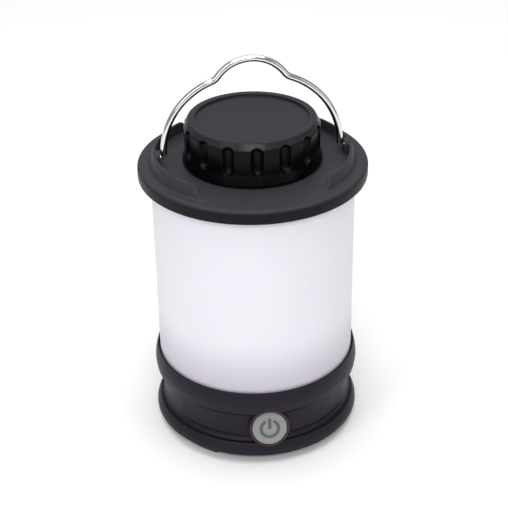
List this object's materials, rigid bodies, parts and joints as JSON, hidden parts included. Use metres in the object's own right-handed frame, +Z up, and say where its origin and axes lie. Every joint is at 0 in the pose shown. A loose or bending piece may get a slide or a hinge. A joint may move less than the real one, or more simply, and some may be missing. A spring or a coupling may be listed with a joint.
{
  "type": "camping lantern",
  "caption": "Round rechargeable camping lantern: frosted tube shade between a flanged top housing and a waisted base, fluted screw cap over the battery bay, folding wire bail, power button.",
  "frame": {"origin": "on the floor under the centre of the standing lantern", "axes": "+Z up along the lantern's axis, -Y towards the power button, +X along the bail's pivot axis"},
  "size_m": [0.0904, 0.0904, 0.1608],
  "materials": {
    "housing_black": "matte",
    "cap_black": "satin",
    "bail_steel": "polished",
    "shade_frost": "frosted",
    "seal_rubber": "matte",
    "board_green": "solder mask",
    "board_white": "white solder mask",
    "contact_brass": "plain",
    "screw_steel": "plain",
    "cell_wrap": "shrink sleeve",
    "inner_plastic": "moulded",
    "tube_aluminium": "extruded",
    "led_phosphor": "phosphor",
    "reflector_white": "white",
    "base_black": "fine texture",
    "foot_rubber": "matte",
    "button_grey": "translucent",
    "symbol_dark": "inlay",
    "bezel_red": "dark red",
    "switch_plastic": "moulded",
    "socket_steel": "plated",
    "flap_rubber": "matte"
  },
  "bodies": {
    "lamp": {"top_housing": "housing_black", "bay_neck": "housing_black", "shade": "shade_frost", "upper_gasket": "seal_rubber", "lower_gasket": "seal_rubber", "neck_seal": "seal_rubber", "cell_1": "cell_wrap", "cell_2": "cell_wrap", "cell_3": "cell_wrap", "lower_contact_board": "board_green", "lower_contacts": "contact_brass", "bay_floor": "inner_plastic", "battery_tube": "tube_aluminium", "column_screws": "screw_steel", "led_strip_1": "board_white", "led_strip_2": "board_white", "led_strip_3": "board_white", "led_strip_4": "board_white", "led_strip_5": "board_white", "led_strip_6": "board_white", "leds": "led_phosphor", "lower_reflector": "reflector_white", "upper_reflector": "reflector_white", "base_housing": "base_black", "bottom_cover": "base_black", "cover_screws": "screw_steel", "board_screws": "screw_steel", "driver_board": "board_green", "foot_right": "foot_rubber", "foot_left": "foot_rubber", "foot_rear": "foot_rubber", "tripod_insert": "contact_brass", "button_bezel": "bezel_red", "button_gasket": "seal_rubber", "tact_switch": "switch_plastic", "switch_board": "board_green", "usb_socket": "socket_steel", "usb_board": "board_green"},
    "bail": {"bail": "bail_steel"},
    "contact_carrier": {"contact_plate": "board_green", "cap_contacts": "contact_brass"},
    "cap": {"battery_cap": "cap_black", "plate_pin": "screw_steel"},
    "button": {"button_cap": "button_grey", "power_symbol": "symbol_dark"},
    "flap": {"port_flap": "flap_rubber"}
  },
  "joints": [
    {"name": "bail_swing", "type": "hinge", "parent": "lamp", "child": "bail", "pos_m": [0, 0, 0.1213], "axis": [1, 0, 0], "range_deg": [-92, 92]},
    {"name": "cap_lift", "type": "slide", "parent": "lamp", "child": "contact_carrier", "axis": [0, 0, 1], "range_m": [0, 0.006]},
    {"name": "cap_turn", "type": "hinge", "parent": "contact_carrier", "child": "cap", "pos_m": [0, 0, 0.1213], "axis": [0, 0, 1], "range_deg": [0, 720]},
    {"name": "button_press", "type": "slide", "parent": "lamp", "child": "button", "axis": [0, 0.9781, -0.2079], "range_m": [0, 0.0008], "stiffness_N_per_m": 2500},
    {"name": "flap_hinge", "type": "hinge", "parent": "lamp", "child": "flap", "pos_m": [0, 0.03935, 0.01275], "axis": [-1, 0, 0], "range_deg": [0, 105]}
  ],
  "couplings": [
    {"joint": "cap_lift", "follows": "cap_turn", "m_per_rad": 0.00047746}
  ]
}
